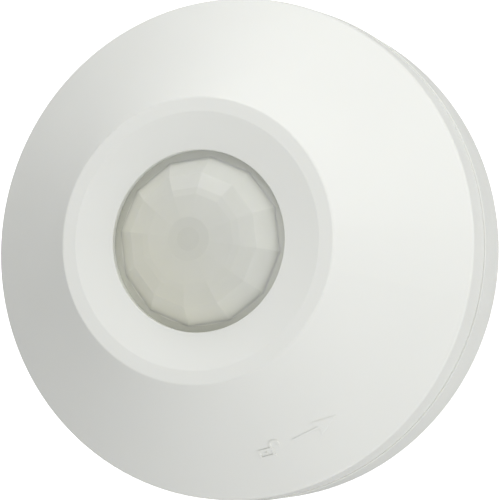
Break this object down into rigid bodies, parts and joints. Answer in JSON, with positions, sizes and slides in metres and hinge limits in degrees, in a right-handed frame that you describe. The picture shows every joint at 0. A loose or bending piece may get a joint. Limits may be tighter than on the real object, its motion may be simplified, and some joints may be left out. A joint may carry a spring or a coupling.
{
  "type": "motion sensor",
  "caption": "Round ceiling-mount 360 degree infrared motion detector: conical turn-to-open cover, faceted Fresnel lens, slotted base, circuit board inside.",
  "frame": {"origin": "centre of the base's flat back face, which lies on the ceiling", "axes": "+Z out of the middle of the lens; +X along the pair of outer screw slots; +Y towards the tamper switch, away from the terminals"},
  "size_m": [0.116, 0.116, 0.0494],
  "materials": {
    "casing_plastic": "moulded, faint satin",
    "lens_polyethylene": "milky translucent",
    "inner_plastic": "moulded",
    "board_laminate": "solder mask",
    "zinc_steel": "zinc plated",
    "nickel_can": "nickel plated",
    "sensor_filter": "polished silicon",
    "terminal_plastic": "moulded",
    "clamp_metal": "plated",
    "relay_case": "moulded",
    "black_plastic": "moulded",
    "plunger_plastic": "moulded",
    "spring_steel": "drawn wire",
    "gold_pins": "plated",
    "led_epoxy": "clear coloured epoxy",
    "shunt_plastic": "moulded",
    "varistor_coat": "dipped epoxy",
    "capacitor_sleeve": "heat-shrunk sleeve",
    "chip_ceramic": "fired",
    "chip_capacitor_ceramic": "fired"
  },
  "bodies": {
    "base": {"base": "casing_plastic", "circuit_board": "board_laminate", "board_screws": "zinc_steel", "sensor_spacer": "black_plastic", "pir_sensor_can": "nickel_can", "pir_sensor_window": "sensor_filter", "terminal_block": "terminal_plastic", "terminal_clamps": "clamp_metal", "terminal_screws": "zinc_steel", "alarm_relay": "relay_case", "tamper_switch_body": "black_plastic", "tamper_spring": "spring_steel", "jumper_header": "black_plastic", "jumper_pins": "gold_pins", "alarm_led": "led_epoxy", "processor_chip": "black_plastic", "amplifier_chip": "black_plastic", "voltage_regulator": "black_plastic", "crystal": "nickel_can", "surge_varistor": "varistor_coat", "power_diode": "black_plastic", "filter_capacitors": "capacitor_sleeve", "chip_resistors": "chip_ceramic", "chip_capacitors": "chip_capacitor_ceramic"},
    "cover": {"cover": "casing_plastic", "fresnel_lens": "lens_polyethylene", "lens_retainer": "inner_plastic"},
    "tamper_plunger": {"tamper_plunger": "plunger_plastic"},
    "shunt_1": {"jumper_shunt_1": "shunt_plastic"},
    "shunt_2": {"jumper_shunt_2": "shunt_plastic"},
    "shunt_3": {"jumper_shunt_3": "shunt_plastic"}
  },
  "joints": [
    {"name": "cover_twist", "type": "hinge", "parent": "base", "child": "cover", "pos_m": [0, 0, 0], "axis": [0, 0, 1], "range_deg": [0, 14]},
    {"name": "tamper_plunger_rise", "type": "slide", "parent": "base", "child": "tamper_plunger", "axis": [0, 0, 1], "range_m": [0, 0.001], "deforming": ["tamper_spring"]},
    {"name": "shunt_1_pull", "type": "slide", "parent": "base", "child": "shunt_1", "axis": [0, 0, 1], "range_m": [0, 0.006]},
    {"name": "shunt_2_pull", "type": "slide", "parent": "base", "child": "shunt_2", "axis": [0, 0, 1], "range_m": [0, 0.006]},
    {"name": "shunt_3_pull", "type": "slide", "parent": "base", "child": "shunt_3", "axis": [0, 0, 1], "range_m": [0, 0.006]}
  ],
  "couplings": [
    {"joint": "tamper_plunger_rise", "follows": "cover_twist", "m_per_rad": 0.00409}
  ]
}
